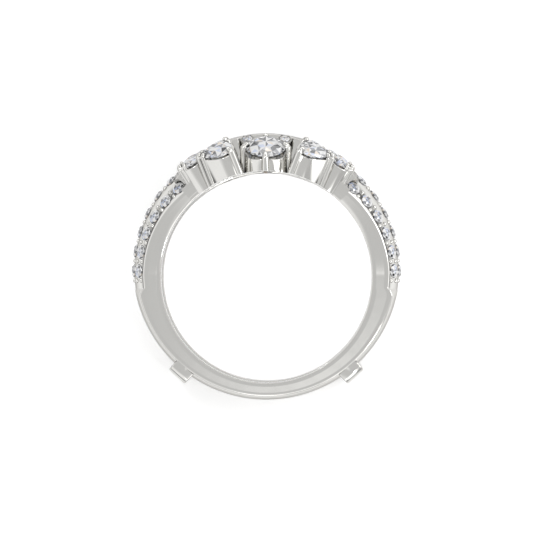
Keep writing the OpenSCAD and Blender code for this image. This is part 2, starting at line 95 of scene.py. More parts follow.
class BandSizes(bpy.types.PropertyGroup):
    back_wall: length("Back wall", 1.39, "Wall of the bands at the back of the finger")
    outline_shift: length("Outline shift", 0.91, "Height of the outline's middle")
    side: length("Half width", 3.35, "Half the width of both bands at the back")
    slot: length("Half slot", 0.95, "Half the slot between the bands")
    dome: length("Dome", 0.35, "Depth of the shank's edges below its crest")
    plain_from: angle("Shank from", 98.3, "Where the plain shank begins to run down")
    end_slope: angle("End slope", 28, "Slope of the plain shank's end")
    parting: length("Half parting", 2.5, "Half the parting between the bands at the head")
    parting_reach: length("Parting reach", 8.6, "Half the length of the parting")
    shoulder_y: length("Shoulder middle", 0.41, "Height of the shoulders' middle")
    shoulder_drop: length("Shoulder drop", 0.1, "Depth of the shoulders' crest below the outline")
    crest: length("Crest", 1.5, "Distance of the shoulders' crest from the middle plane")
    fall: share("Fall", 245.0, "How fast the shoulders fall off, per metre")
    flare_from: length("Flare from", 0.3, "Height at which the sides begin to flare")
    flare_start: angle("Flare start", 2, "Slope at which the flare begins")
    flare_radius: length("Flare radius", 55, "Radius of the flare's long curve")
    shoulder_to: angle("Shoulder to", 36.7, "Where the shoulders end under the head")
    shoulder_from: angle("Shoulder from", 95.3, "Where the shoulders end at the back")
    rim_shift: length("Rim shift", 1.4, "Height of the rim's middle above the outline's")
    rim_drop: length("Rim drop", 0.06, "Depth of the rim's top below the outline")
    rim_slope: share("Rim slope", 0.15, "Slope of the rim's top toward the side")
    rim_side: length("Rim side", 3.55, "Distance of the rim's side from the middle plane")
    rim_side_middle: length("Rim side, middle", 3.2, "The same by the middle stone")
    rim_narrow: angle("Narrow rim", 11, "Half the angle of the rim's narrow stretch")
    rim_to: angle("Rim to", 44, "Where the rim ends")
    floor_drop: length("Floor drop", 1.7, "Depth of the floor under the stones")
    floor_side: length("Floor side", 4.7, "Distance of the floor's edge from the middle plane")
    edge: length("Edge", 0.07, "Rounding of the polished edges")
    bar_angle: angle("Bar angle", 138, "Angle of each bar from the head")
    bar_width: length("Bar width", 1.8, "Width of a bar round the finger")
    bar_rise: length("Bar rise", 2.29, "Distance of a bar's outer face from the hole")
    bar_thickness: length("Bar thickness", 0.9, "Thickness of a bar")
    bar_round: length("Bar end", 0.5, "Radius of the bars' rounded ends")
    bar_solder: length("Bar solder", 0.16, "Depth of the solder under the bars' feet")


class HeadSizes(bpy.types.PropertyGroup):
    tilt: angle("Stone tilt", 29, "Tilt of the head's stones toward the side")
    round_d: length("Round stone", 3.25, "Diameter of the round stones")
    round_side: length("Round side", 4.7, "Distance of the round stones from the middle plane")
    round_drop: length("Round drop", 1.26, "Depth of the round girdles below the outline")
    pear_w: length("Pear width", 2.4, "Width of the pears")
    pear_l: length("Pear length", 2.7, "Length of the pears")
    pear_angle: angle("Pear angle", 21.6, "Angle of the pears from the head")
    pear_side: length("Pear side", 5.3, "Distance of the pears from the middle plane")
    pear_drop: length("Pear drop", 0.78, "Depth of the pear girdles below the outline")
    marquise_w: length("Marquise width", 1.35, "Width of the marquises")
    marquise_l: length("Marquise length", 2.2, "Length of the marquises")
    marquise_angle: angle("Marquise angle", 32.4, "Angle of the marquises from the head")
    marquise_side: length("Marquise side", 4.2, "Distance of the marquises from the middle plane")
    marquise_drop: length("Marquise drop", 0.46, "Depth of the marquise girdles below the outline")
    marquise_turn: angle("Marquise turn", 12, "Turn of the marquises toward the side")
    accent_d: length("Accent stone", 0.85, "Diameter of the accent stones")
    accent_angle: angle("Accent angle", 7.7, "Angle of the accent stones from the head")
    accent_side: length("Accent side", 3.35, "Distance of the accent stones from the middle plane")
    accent_drop: length("Accent drop", 0.45, "Depth of the accent girdles below the outline")
    accent_tilt: angle("Accent tilt", 36, "Tilt of the accent stones toward the side")
    accent_wall: length("Accent wall", 0.13, "Wall of the accent stones' cups")
    crown: share("Crown", 0.15, "Crown height as a share of the width")
    pavilion: share("Pavilion", 0.42, "Pavilion depth as a share of the width")
    table: share("Table", 0.58, "Table size as a share of the stone")
    girdle: length("Girdle", 0.08, "Thickness of a girdle")
    gap: length("Stone gap", 0.03, "Gap between a stone and its metal")
    wall: length("Basket wall", 0.16, "Wall of a basket outside its stone")
    scallop: length("Scallop", 0.2, "Dip of a basket's top between its claws")
    seat_drop: length("Seat drop", 0.12, "Depth of a basket's top below the girdle")
    well: share("Well", 0.64, "Size of the well, as a share of the stone")
    column: length("Column", 0.32, "Radius of the columns in the basket walls")
    claw: length("Claw", 0.24, "Radius of the claws")
    claw_rise: length("Claw rise", 0.3, "Height of the claws above the girdle")
    claw_reach: length("Claw reach", 0.14, "Distance of the claws' middles from the girdle")
    v_claw: length("V claw", 0.2, "Radius of the posts of a V claw")
    v_arm: length("V arm", 0.6, "Length of the arms of a V claw")
    v_rib: length("V rib", 0.44, "Distance of a V claw's ribs from its tip")


class PaveSizes(bpy.types.PropertyGroup):
    stone: length("Pave stone", 1.1, "Diameter of the pave stones")
    count: IntProperty(name="Count", default=6, min=1, description="Stones in each row along a shoulder")
    first: angle("First", 89.4, "Angle of the first pair of stones")
    step: angle("Step", 8.65, "Step between the stones")
    inner_inset: length("Inner row", 0.62, "Distance of the inner row from the slot")
    outer_inset: length("Outer row", 0.58, "Distance of the outer row from the flat side")
    rim_count: IntProperty(name="Rim count", default=3, min=0, description="Stones of a row on the rim")
    rim_first: angle("Rim first", 39.3, "Angle of the first stone on the rim")
    rim_step: angle("Rim step", 9, "Step between the stones on the rim")
    bead: length("Bead", 0.19, "Radius of the beads that hold the stones")
    bead_offset: length("Bead offset", 0.34, "How far the beads stand from their row")
    bead_rise: length("Bead rise", 0.14, "How far the beads' tops stand out")


class FinishTones(bpy.types.PropertyGroup):
    metal: tone("Metal", (0.7, 0.693, 0.67), "Polished white gold")
    # Painted shade: the darker white gold that the metal is painted in crevices and narrow places
    metal_deep: tone("Metal, deep", (0.34, 0.333, 0.318), "White gold in narrow places")
    # Painted light: the facets are painted half-dark, dark, bluish and amber to stand in for shade, dark
    # reflections and glints; the white is the stone's own
    stone: tone("Stone", (1.0, 1.0, 1.0), "Clear stone, its bright facets")
    stone_half: tone("Stone, half", (0.34, 0.35, 0.38), "Clear stone, its half-dark facets")
    stone_deep: tone("Stone, deep", (0.04, 0.042, 0.05), "Clear stone, its dark facets")
    stone_cool: tone("Stone, cool", (0.7, 0.78, 1.0), "Clear stone, its bluish facets")
    stone_warm: tone("Stone, warm", (1.0, 0.86, 0.72), "Clear stone, its amber facets")
    floor: tone("Floor", (0.9, 0.9, 0.9), "Pale studio floor")
    floor_far: tone("Floor, far", (0.4, 0.4, 0.4), "The floor well outside the picture")


class StudioSizes(bpy.types.PropertyGroup):
    distance: length("Camera distance", 290, "Distance of the camera")
    camera_right: length("Camera right", 5.4, "How far the camera stands right of the axis")
    camera_up: length("Camera up", 1.8, "How far the camera stands above the axis")
    aim_x: length("Aim, right", -0.03, "Where the camera looks, right of the axis")
    aim_y: length("Aim, up", 0.866, "Where the camera looks, above the axis")
    lens: share("Lens", 237.25, "Focal length in millimetres on a 36 mm sensor")
    world: share("Above", 0.72, "Strength of the even light from above")
    pool: share("Pool", 0.42, "Strength of the soft pool of light overhead")
    soft: share("Soft side", 1.12, "Strength of the soft wall on the left")
    wall: share("Walls", 1.7, "Strength of the white walls round the ring")
    gap: share("Gaps", 0.62, "Strength of the dark gaps between the walls")
    low: share("Low", 0.2, "Strength of the dark strip just over the floor")


def sizes():
    scene = bpy.context.scene
    return scene.ring_bands, scene.ring_head, scene.ring_pave


# Places, in the ring's own frame: the finger along Z, the head toward +Y, the front band toward +Z


def lying():
    """From the ring's own frame to the one in which the CAD model lies."""
    turn = Vector((0, 0, 1)).rotation_difference(Vector(HOLE["axis"]))
    return Matrix.Translation(HOLE["pos_m"]) @ turn.to_matrix().to_4x4()


TO_LEFT = Matrix.Scale(-1, 4, (1, 0, 0))
TO_BACK = Matrix.Scale(-1, 4, (0, 0, 1))
QUARTERS = {
    "front_right": Matrix.Identity(4),
    "front_left": TO_LEFT,
    "back_right": TO_BACK,
    "back_left": TO_LEFT @ TO_BACK,
}


def smooth(low, high, x):
    t = min(max((x - low) / (high - low), 0.0), 1.0)
    return t * t * (3 - 2 * t)


def circle_at(radius, middle_y, a):
    """Distance from the finger's axis to a circle whose middle lies up Y, at an angle from the head."""
    return middle_y * cos(a) + sqrt(radius**2 - (middle_y * sin(a)) ** 2)


def outline_radius(b):
    return HOLE_RADIUS + b.back_wall + b.outline_shift


def shoulder_radius(b, side):
    return outline_radius(b) - b.shoulder_drop - b.fall * (side - b.crest) ** 2


def rim_radius(b, side):
    return outline_radius(b) - b.rim_drop - b.rim_shift - b.rim_slope * (side - b.parting)


def slot_at(b, x):
    """Half the gap between the bands, which part at the head."""
    spread = b.parting - b.slot
    radius = (b.parting_reach**2 + spread**2) / (2 * spread)
    if abs(x) >= b.parting_reach:
        return b.slot
    return b.parting - (radius - sqrt(radius**2 - x * x))


def side_at(b, y):
    """Distance of the flat sides, which flare toward the head, from the middle plane."""
    if y < b.flare_from:
        return b.side
    middle_y = b.flare_from - b.flare_radius * sin(b.flare_start)
    middle_z = b.side + b.flare_radius * cos(b.flare_start)
    return middle_z - sqrt(b.flare_radius**2 - (y - middle_y) ** 2)


def turn_x(a):
    return Matrix.Rotation(a, 4, "X")


def turn_z(a):
    return Matrix.Rotation(a, 4, "Z")


def shift(x, y, z):
    return Matrix.Translation((x, y, z))


OUTWARD = turn_x(-pi / 2)


def set_out(middle_y, a, out, side, lean=0.0):
    """A place on a round wall: x runs round the finger, z points outward and -y toward the side."""
    return shift(0, middle_y, 0) @ turn_z(-a) @ shift(0, out, side) @ OUTWARD @ turn_x(lean)


def at_head(b, a, drop, side):
    return set_out(0, a, circle_at(outline_radius(b), b.outline_shift, a) - drop, side)


def at_shoulder(b, a, side):
    lean = atan(2 * b.fall * (side - b.crest))
    return set_out(b.shoulder_y, a, shoulder_radius(b, side), side, lean)


def at_rim(b, a, side):
    return set_out(b.outline_shift + b.rim_shift, a, rim_radius(b, side), side, atan(b.rim_slope))


def rim_angle(b, a):
    """Angle about the rim's middle of a place that is given as an angle about the outline's."""
    r = outline_radius(b) - b.rim_drop
    return atan2(r * sin(a), r * cos(a) - b.rim_shift)


def shoulder_rows(b, p, a):
    """Distances of both pave rows from the middle plane, at an angle."""
    crest = outline_radius(b) - b.shoulder_drop
    inner = slot_at(b, crest * sin(a)) + p.inner_inset
    outer = side_at(b, b.shoulder_y + (crest - 1 * MM) * cos(a)) - p.outer_inset
    return inner, outer


def rim_row(b, a):
    return (slot_at(b, outline_radius(b) * sin(a)) + b.rim_side) / 2


def row_places(b, p, steps, rim_steps):
    """Places in one quarter's rows, counted in steps from the first stones."""
    places = []
    for i in steps:
        a = p.first - i * p.step
        places += [at_shoulder(b, a, side) for side in shoulder_rows(b, p, a)]
    for i in rim_steps:
        a = p.rim_first - i * p.rim_step
        places.append(at_rim(b, rim_angle(b, a), rim_row(b, a)))
    return places


def pave_places(b, p):
    return row_places(b, p, range(p.count), range(p.rim_count))


def bead_places(b, p):
    """Places of one quarter's beads: two beside each gap of a row."""
    gaps = [i - 0.5 for i in range(p.count + 1)]
    spots = row_places(b, p, gaps, [i + 0.5 for i in range(p.rim_count - 1)])
    sink = p.bead_rise - p.bead
    return [spot @ shift(0, s * p.bead_offset, sink) for spot in spots for s in (-1, 1)]


# Outlines of the stones, as points at an angle round them


PEAR_FULLEST = 0.7698  # the most that sin(a) * sin(a / 2) reaches


def round_point(a, d, _width=0.0):
    return Vector((d / 2 * cos(a), d / 2 * sin(a)))


def pear_point(a, l, w):
    return Vector((l / 2 * cos(a), w / 2 * sin(a) * sin(a % tau / 2) / PEAR_FULLEST))


def marquise_point(a, l, w):
    arc = (l * l + w * w) / (4 * w)
    x = l / 2 * cos(a)
    bow = sqrt(arc * arc - x * x) - arc + w / 2
    return Vector((x, copysign(max(bow, 0.0), sin(a))))


def outline(point, l, w, count, turn=0.0):
    flat = Matrix.Rotation(turn, 2)
    return [flat @ point(i * tau / count, l, w) for i in range(count)]


def at_accent(b, h):
    return at_head(b, h.accent_angle, h.accent_drop, h.accent_side) @ turn_x(h.accent_tilt)


def head_stones(b, h):
    """The head's main stones by kind: place, outline, length, width and turn in its own plane."""
    marquise = at_head(b, h.marquise_angle, h.marquise_drop, h.marquise_side)
    return {
        "round": (at_head(b, 0.0, h.round_drop, h.round_side), round_point, h.round_d, h.round_d, 0.0),
        "pear": (at_head(b, h.pear_angle, h.pear_drop, h.pear_side), pear_point, h.pear_l, h.pear_w, 0.0),
        "marquise": (marquise, marquise_point, h.marquise_l, h.marquise_w, -h.marquise_turn),
    }


# Meshes


class Solid:
    """Closed shells gathered as points and faces."""

    def __init__(self):
        self.points = []
        self.faces = []

    def ring(self, points):
        start = len(self.points)
        self.points += [Vector(p) for p in points]
        return list(range(start, start + len(points)))

    def loft(self, rings):
        """Joins rings of as many points and closes both ends."""
        rows = [self.ring(r) for r in rings]
        n = len(rows[0])
        for one, other in zip(rows, rows[1:]):
            for i in range(n):
                j = (i + 1) % n
                self.faces.append((one[i], one[j], other[j], other[i]))
        self.faces.append(tuple(reversed(rows[0])))
        self.faces.append(tuple(rows[-1]))
        return self

    def mesh(self, name, matrix=None):
        mesh = bpy.data.meshes.new(name)
        points = [(matrix @ p) if matrix else p for p in self.points]
        mesh.from_pydata(points, [], self.faces)
        bm = bmesh.new()
        bm.from_mesh(mesh)
        bmesh.ops.remove_doubles(bm, verts=bm.verts, dist=1e-8)
        bmesh.ops.recalc_face_normals(bm, faces=bm.faces)
        bm.to_mesh(mesh)
        bm.free()
        return mesh


def lift(points, z):
    return [Vector((p[0], p[1], z)) for p in points]


CAP_STEPS = (0.35, 0.65, 0.85, 0.97)


def tube(path, radii, sides=20):
    """A round rod along a path, with its end rounded off."""
    path = [Vector(p) for p in path]
    end, tip = radii[-1], path[-1]
    last = (tip - path[-2]).normalized()
    path += [tip + last * (end * t) for t in CAP_STEPS]
    radii = list(radii) + [end * sqrt(1 - t * t) for t in CAP_STEPS]
    turns = [k * tau / sides for k in range(sides)]
    rings = []
    side = None
    for i, here in enumerate(path):
        along = (path[min(i + 1, len(path) - 1)] - path[max(i - 1, 0)]).normalized()
        if side is None:
            side = along.orthogonal().normalized()
        side = (side - along * side.dot(along)).normalized()
        up = along.cross(side)
        rings.append([here + (side * cos(a) + up * sin(a)) * radii[i] for a in turns])
    return Solid().loft(rings)


def prism(points, low, high, bevel=0.0):
    """An upright block over a plan, its top edge rounded."""
    middle = sum((Vector(p) for p in points), Vector((0, 0))) / len(points)
    size = max((Vector(p) - middle).length for p in points)
    rings = [lift(points, low)]
    for k in range(4 if bevel else 1):
        a = k * pi / 6
        inset = 1 - bevel * (1 - cos(a)) / size
        level = high - bevel * (1 - sin(a))
        rings.append(lift([middle + (Vector(p) - middle) * inset for p in points], level))
    return Solid().loft(rings)


def section(b, a, inner, outer, top, columns):
    """Round trip of a band's section at an angle, as points in the ring's frame, its corners rounded."""
    e = b.edge
    cut = 0.3 * e
    low = HOLE_RADIUS
    s0, s1 = inner(low), outer(low)
    trip = [(low + e, s0), (low + cut, s0 + cut), (low, s0 + e), (low, (s0 + s1) / 2)]
    trip += [(low, s1 - e), (low + cut, s1 - cut), (low + e, s1)]
    edge_r = top(outer(low + b.back_wall))
    high_s = outer(edge_r)
    edge_r = top(high_s)
    for t in (0.25, 0.5, 0.75, 1.0):
        r = low + e + (edge_r - low - 2 * e) * t
        trip.append((r, outer(r)))
    slot_s = inner(top(inner(edge_r)))
    trip.append((top(high_s - cut) - cut, high_s - cut))
    for i in range(columns + 1):
        s = high_s - e + (slot_s - high_s + 2 * e) * i / columns
        trip.append((top(s), s))
    slot_r = top(slot_s)
    trip.append((top(slot_s + cut) - cut, slot_s + cut))
    for t in (1.0, 0.66, 0.33):
        r = low + e + (slot_r - low - 2 * e) * t
        trip.append((r, inner(r)))
    return [Vector((r * sin(a), r * cos(a), s)) for r, s in trip]


RAMP_SOFT = 0.04 * MM
STEP, FINE_STEP, FINE_REACH = radians(1.0), radians(0.25), 0.05
BLEND_BEFORE, BLEND_PAST, RIM_BLEND = radians(0.5), radians(0.7), 0.008


def shank_rings(b):
    """The shank and shoulders of the front band, from under the head on the right round to the left."""

    def top_at(a, s):
        a = abs(a)
        outline_r = outline_radius(b)
        half, middle = (b.side - b.slot) / 2, (b.side + b.slot) / 2
        shoulder = circle_at(shoulder_radius(b, s), b.shoulder_y, a)
        t = min(max((s - middle) / half, -1.0), 1.0)
        plain = circle_at(outline_r - b.dome * t * t, b.outline_shift, a)
        slope = tan(b.end_slope)
        start = circle_at(outline_r - b.dome, b.outline_shift, b.plain_from)
        ramp = start - slope * (b.plain_from - a) * start + slope * (b.side - s)
        ramp = (plain + ramp - sqrt((plain - ramp) ** 2 + RAMP_SOFT**2)) / 2
        w = smooth(b.shoulder_from - BLEND_BEFORE, b.shoulder_from + BLEND_PAST, a)
        return shoulder * (1 - w) + ramp * w

    def stops():
        """Angles down one side, close together where the pave ends."""
        a = b.shoulder_to
        while a < pi:
            yield a
            fine = b.shoulder_from - FINE_REACH < a < b.plain_from + FINE_REACH
            a += FINE_STEP if fine else STEP

    def ring(a):
        signed = a if a <= pi else a - tau
        return section(
            b,
            a,
            lambda r: slot_at(b, r * sin(a)) if cos(a) > 0 else b.slot,
            lambda r: side_at(b, r * cos(a)),
            lambda s: top_at(signed, s),
            14,
        )

    right = list(stops())
    return [ring(a) for a in right + [pi] + [tau - a for a in reversed(right)]]


def head_rings(b, reach, outer, top, step=1.0):
    """Sections of a wall under the head, to an angle on both sides, from the slot to an outer side."""

    def ring(a):
        sides = (lambda r: slot_at(b, r * sin(a))), (lambda r: outer(a))
        return section(b, a, *sides, lambda s: top(a, s), 5)

    count = ceil(2 * degrees(reach) / step)
    return [ring(-reach + 2 * reach * i / count) for i in range(count + 1)]


def rim_solid(b):
    def outer(a):
        wide = smooth(b.rim_narrow - RIM_BLEND, b.rim_narrow + RIM_BLEND, abs(a))
        return b.rim_side_middle + (b.rim_side - b.rim_side_middle) * wide

    def top(a, s):
        return circle_at(rim_radius(b, s), b.outline_shift + b.rim_shift, a)

    return Solid().loft(head_rings(b, b.rim_to, outer, top, 0.5))


def floor_solid(b):
    def top(a, _s):
        return circle_at(outline_radius(b) - b.floor_drop, b.outline_shift, a)

    return Solid().loft(head_rings(b, b.rim_to, lambda a: b.floor_side, top))


# Places across a bar's width, as shares of it, and how far its section is drawn in there, in mm
BAR_SECTIONS = ((-0.5, 0.08), (-0.47, 0.02), (-0.44, 0.0), (0.44, 0.0), (0.47, 0.02), (0.5, 0.08))


def bar_solid(b):
    """A bar across both bands, drawn where the head is and turned to its place later."""
    outer = HOLE_RADIUS + b.bar_rise
    inner = outer - b.bar_thickness - b.bar_solder
    round_r = b.bar_round
    half = [(inner, b.side)]
    for i in range(9):
        a = pi / 2 * (1 - i / 8)
        half.append((outer - round_r + round_r * cos(a), b.side - round_r + round_r * sin(a)))
    trip = half + [(r, -s) for r, s in reversed(half)]
    middle = (outer + inner) / 2
    rings = []
    for x, inset in BAR_SECTIONS:
        shrink = 1 - inset * MM / ((outer - inner) / 2)
        length_shrink = 1 - inset * MM / b.side
        rings.append(
            [Vector((x * b.bar_width, middle + (r - middle) * shrink, s * length_shrink)) for r, s in trip]
        )
    return Solid().loft(rings)


BASKET_SIDES = 64
BASKET_FOOT = -4 * MM
WELL_FOOT = -5 * MM
CLAW_ROOT = 0.3 * MM
# A basket's top edge: how far it is drawn in, as a share of its size, and how far it lies down, in mm
BASKET_EDGE = ((1.0, 0.06), (0.985, 0.02), (0.96, 0.0))


def basket_solid(h, point, l, w, turn, claw_waves):
    """A basket's block in its own frame: the stone's outline and a wall, dipping between the claws."""
    grown = outline(point, l + 2 * h.wall, w + 2 * h.wall, BASKET_SIDES, turn)
    lean, cosine = sin(h.tilt), cos(h.tilt)

    def level(i, y, drop):
        wave = abs(sin(claw_waves * pi * i / BASKET_SIDES)) ** 1.5
        return y * lean - h.seat_drop - drop - h.scallop * wave

    rings = [lift([(x, y * cosine) for x, y in grown], BASKET_FOOT)]
    for inset, drop in BASKET_EDGE:
        heights = [level(i, p[1], drop * MM) for i, p in enumerate(grown)]
        rings.append([Vector((x * inset, y * cosine * inset, z)) for (x, y), z in zip(grown, heights)])
    return Solid().loft(rings)


def column_solid(h, spot, radius):
    """A column of a basket's wall, down through the finger hole's wall."""
    x, y = spot[0], spot[1] * cos(h.tilt)
    top = spot[1] * sin(h.tilt) - h.seat_drop
    return tube([(x, y, BASKET_FOOT), (x, y, top)], [radius, radius], 24)


def claw_solid(h, spot, radius, lean=0.12):
    """A claw over a point of the girdle, in the stone's own frame, leaning in over the crown."""
    x, y = spot
    rise = h.claw_rise
    bent, tip = 1 - lean / 3, 1 - lean
    foot, root = (x, y, -h.seat_drop - CLAW_ROOT), (x, y, 0.0)
    path = [foot, root, (x * bent, y * bent, 0.55 * rise), (x * tip, y * tip, 0.9 * rise)]
    return tube(path, [radius, radius, radius * 0.96, radius * 0.8])


def v_plan(h, tip, turn, half, radius):
    """The V of a claw's web, seen from above, by half its spread and half its thickness."""

    def arrow(a, reach):
        return Vector((reach * cos(a), reach * sin(a)))

    one, other = turn + pi + half, turn + pi - half
    end, far_end = tip + arrow(one, h.v_arm), tip + arrow(other, h.v_arm)
    wide, far_wide = arrow(one + pi / 2, radius), arrow(other - pi / 2, radius)
    return [
        end + wide,
        tip + wide,
        tip + arrow(turn, radius),
        tip + far_wide,
        far_end + far_wide,
        far_end - far_wide,
        tip + arrow(turn + pi, radius / sin(half)),
        end - wide,
    ]


def v_claw_solids(h, tip, turn, half):
    """A V claw's pieces: the web of both arms, down the basket and over the girdle, and three posts."""
    cosine = cos(h.tilt)
    web = v_plan(h, tip, turn, half, h.v_claw * 0.72)
    top = tip[1] * sin(h.tilt) - h.seat_drop
    low = prism([(p[0], p[1] * cosine) for p in web], BASKET_FOOT, top)
    high = prism(web, -h.seat_drop - CLAW_ROOT, h.claw_rise * 0.8, 0.08 * MM)
    upright, leaning = [low], [high]
    ways = [turn + s * half for s in (-1, 1)]
    arms = [tip - h.v_rib * Vector((cos(way), sin(way))) for way in ways]
    for spot, radius in [(tip, h.v_claw * 1.1)] + [(arm, h.v_claw) for arm in arms]:
        upright.append(column_solid(h, spot, radius))
        leaning.append(claw_solid(h, spot, radius, 0.1))
    return upright, leaning


def pocket_solid(h, point, l, w, turn):
    """A stone's space: over its crown, round its girdle, down its pavilion and on to the finger hole."""
    grow = 2 * h.gap
    ring = outline(point, l + grow, w + grow, BASKET_SIDES, turn)
    edge = h.girdle / 2 + h.gap
    depth = h.pavilion * w
    well = [p * h.well for p in ring]
    rings = [
        lift([p * h.table for p in ring], edge + h.crown * w),
        lift(ring, edge),
        lift(ring, -edge),
        lift(well, -edge - depth * (1 - h.well)),
        lift(well, WELL_FOOT),
    ]
    return Solid().loft(rings)


def seat_solid(h, d):
    """A small stone's space: open above it, round at its girdle and pointed under its pavilion."""
    edge = h.girdle / 2 + h.gap
    r = d / 2 + h.gap
    levels = ((1, 0.9 * MM), (1, -edge), (0.12, -edge - h.pavilion * d))
    return Solid().loft([lift(outline(round_point, 2 * size * r, 0, 24), z) for size, z in levels])


def cut_stone(h, point, l, w, turn, sides):
    """A brilliant-cut stone over any outline: table, stars, kites, halves, girdle and pavilion."""
    q = sides // 8
    ring = outline(point, l, w, sides, turn)
    edge, crown, pavilion = h.girdle / 2, h.crown * w, h.pavilion * w
    slant = cos(pi / 8)
    flat = Matrix.Rotation(turn, 2)

    def eighths(share_out, z, half=0.0):
        """Eight corners at a share of the outline, on its eighths or half-way between them."""
        corners = [(flat @ point((k + half) * tau / 8, l, w)) * share_out for k in range(8)]
        return stone.ring(lift(corners, z))

    star_out, low_out = 0.855, 0.25
    star_z = edge + crown * (1 - star_out * slant) / (1 - h.table)
    low_z = -edge - pavilion * (1 - low_out * slant)
    stone = Solid()
    table = eighths(h.table, edge + crown)
    stars = eighths(star_out, star_z, 0.5)
    upper = stone.ring(lift(ring, edge))
    lower = stone.ring(lift(ring, -edge))
    lows = eighths(low_out, low_z, 0.5)
    culet = stone.ring([(0, 0, -edge - pavilion)])[0]
    middle = stone.ring([(0, 0, edge + crown)])[0]
    for k in range(8):
        n = (k + 1) % 8
        first, half, last = k * q, k * q + q // 2, (k + 1) * q % sides
        stone.faces += [
            (middle, table[k], table[n]),
            (table[k], stars[k], table[n]),
            (table[k], stars[k - 1], upper[first], stars[k]),
            (stars[k], *upper[first : half + 1]),
            (stars[k], *upper[half : first + q], upper[last]),
            (lows[k], *reversed(lower[first : half + 1])),
            (lows[k], lower[last], *reversed(lower[half : first + q])),
            (culet, lows[k], lower[first], lows[k - 1]),
        ]
    for i in range(sides):
        j = (i + 1) % sides
        stone.faces.append((upper[i], upper[j], lower[j], lower[i]))
    return stone


# Joining


def loose_object(name, mesh):
    piece = bpy.data.objects.new(name, mesh)
    bpy.context.scene.collection.objects.link(piece)
    return piece


def evaluated(piece):
    """The piece's mesh as its modifiers leave it."""
    return bpy.data.meshes.new_from_object(piece.evaluated_get(bpy.context.evaluated_depsgraph_get()))


def boolean(mesh, tools, operation):
    """The mesh with the tools joined to it or cut from it."""
    group = bpy.data.collections.new("tools")
    bpy.context.scene.collection.children.link(group)
    helpers = [bpy.data.objects.new("tool", tool) for tool in tools]
    for helper in helpers:
        group.objects.link(helper)
    base = loose_object("base", mesh)
    modifier = base.modifiers.new("boolean", "BOOLEAN")
    modifier.operation = operation
    modifier.solver = "MANIFOLD"
    modifier.operand_type = "COLLECTION"
    modifier.collection = group
    done = evaluated(base)
    for helper in helpers:
        bpy.data.meshes.remove(helper.data)
    bpy.data.collections.remove(group)
    bpy.data.meshes.remove(base.data)
    if not done.polygons:
        raise RuntimeError(f"the {operation.lower()} left nothing")
    return done


SPLIT_AREA = 0.02 * MM**2
SPREAD = (12.9898, 78.233, 37.719)


def faceted(mesh, split=False):
    """Gives each facet a share, by the way it faces, that picks its painted brightness, shade or glint; its
    larger facets are cut up if split.
    """
    if split:
        bm = bmesh.new()
        bm.from_mesh(mesh)
        bmesh.ops.poke(bm, faces=[face for face in bm.faces if face.calc_area() > SPLIT_AREA])
        bm.to_mesh(mesh)
        bm.free()
    shares = mesh.attributes.new("facet", "FLOAT", "FACE")
    for face in mesh.polygons:
        way = face.normal * 41 + face.center.normalized() * 23
        mixed = way.x * SPREAD[0] + way.y * SPREAD[1] + way.z * SPREAD[2]
        shares.data[face.index].value = modf(abs(sin(mixed)) * 437.5)[0]
    return mesh


def finished(name, mesh, material, slot, *replaces):
    """A finished piece: laid as the CAD lies, with its material, riding on the ring."""
    mesh.name = name
    mesh.materials.clear()
    mesh.materials.append(material)
    piece = loose_object(name, mesh)
    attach(piece, BODY)
    if replaces:
        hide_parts(*replaces)
    return piece


# Materials


def reckoning(operation, turned=False):
    """A method that works out one value with another, or the other with the one if turned."""

    def method(self, other):
        given = {0: other, 1: self} if turned else {0: self, 1: other}
        return self.shader.node("ShaderNodeMath", {"operation": operation}, given)["Value"]

    return method


class Value:
    """A shader socket that can be reckoned with as a number."""

    def __init__(self, shader, socket):
        self.shader = shader
        self.socket = socket

    __add__ = __radd__ = reckoning("ADD")
    __mul__ = reckoning("MULTIPLY")
    __pow__ = reckoning("POWER")
    __sub__ = reckoning("SUBTRACT")
    __rsub__ = reckoning("SUBTRACT", True)
    most = reckoning("MAXIMUM")


# The mix node's colour inputs, which share their names with its other inputs
MIX_ONE = 6
MIX_OTHER = 7


class Shader:
    """A node material, or a world, in the making."""

    def __init__(self, name, world=None):
        self.material = world or bpy.data.materials.new(name)
        self.material.use_nodes = True
        self.tree = self.material.node_tree
        self.tree.nodes.clear()

    def node(self, kind, settings=None, inputs=None):
        """Adds a node and gives its outputs by name. A ramp's colours are soft stops or hard steps."""
        made = self.tree.nodes.new(kind)
        for key, value in (settings or {}).items():
            if key not in ("stops", "steps"):
                setattr(made, key, value)
                continue
            ramp = made.color_ramp
            ramp.interpolation = "CONSTANT" if key == "steps" else "LINEAR"
            while len(ramp.elements) < len(value):
                ramp.elements.new(0.5)
            for element, (place, shade) in zip(ramp.elements, value):
                element.position = place
                element.color = (*shade, 1)
        for key, value in (inputs or {}).items():
            if isinstance(value, Value):
                self.tree.links.new(value.socket, made.inputs[key])
            else:
                made.inputs[key].default_value = value
        return {s.name: Value(self, s) for s in made.outputs if s.enabled}

    def place(self):
        return self.node("ShaderNodeTexCoord")["Object"]

    def noise(self, scale, detail=2.0, roughness=0.5):
        given = {"Vector": self.place(), "Scale": scale, "Detail": detail, "Roughness": roughness}
        return self.node("ShaderNodeTexNoise", {}, given)["Fac"]

    def smooth(self, value, low, high):
        span = {"Value": value, "From Min": low, "From Max": high}
        return self.node("ShaderNodeMapRange", {"interpolation_type": "SMOOTHSTEP"}, span)["Result"]

    def mix(self, factor, one, other):
        given = {"Factor": factor, MIX_ONE: (*one, 1), MIX_OTHER: (*other, 1)}
        return self.node("ShaderNodeMix", {"data_type": "RGBA"}, given)["Result"]

    def surface(self, **inputs):
        given = {key.replace("_", " ").title().replace("Ior", "IOR"): value for key, value in inputs.items()}
        made = self.node("ShaderNodeBsdfPrincipled", {}, given)
        self.node("ShaderNodeOutputMaterial", {}, {"Surface": made["BSDF"]})
        return self.material


# The materials have names that the frame's own, white_gold and diamond, don't take


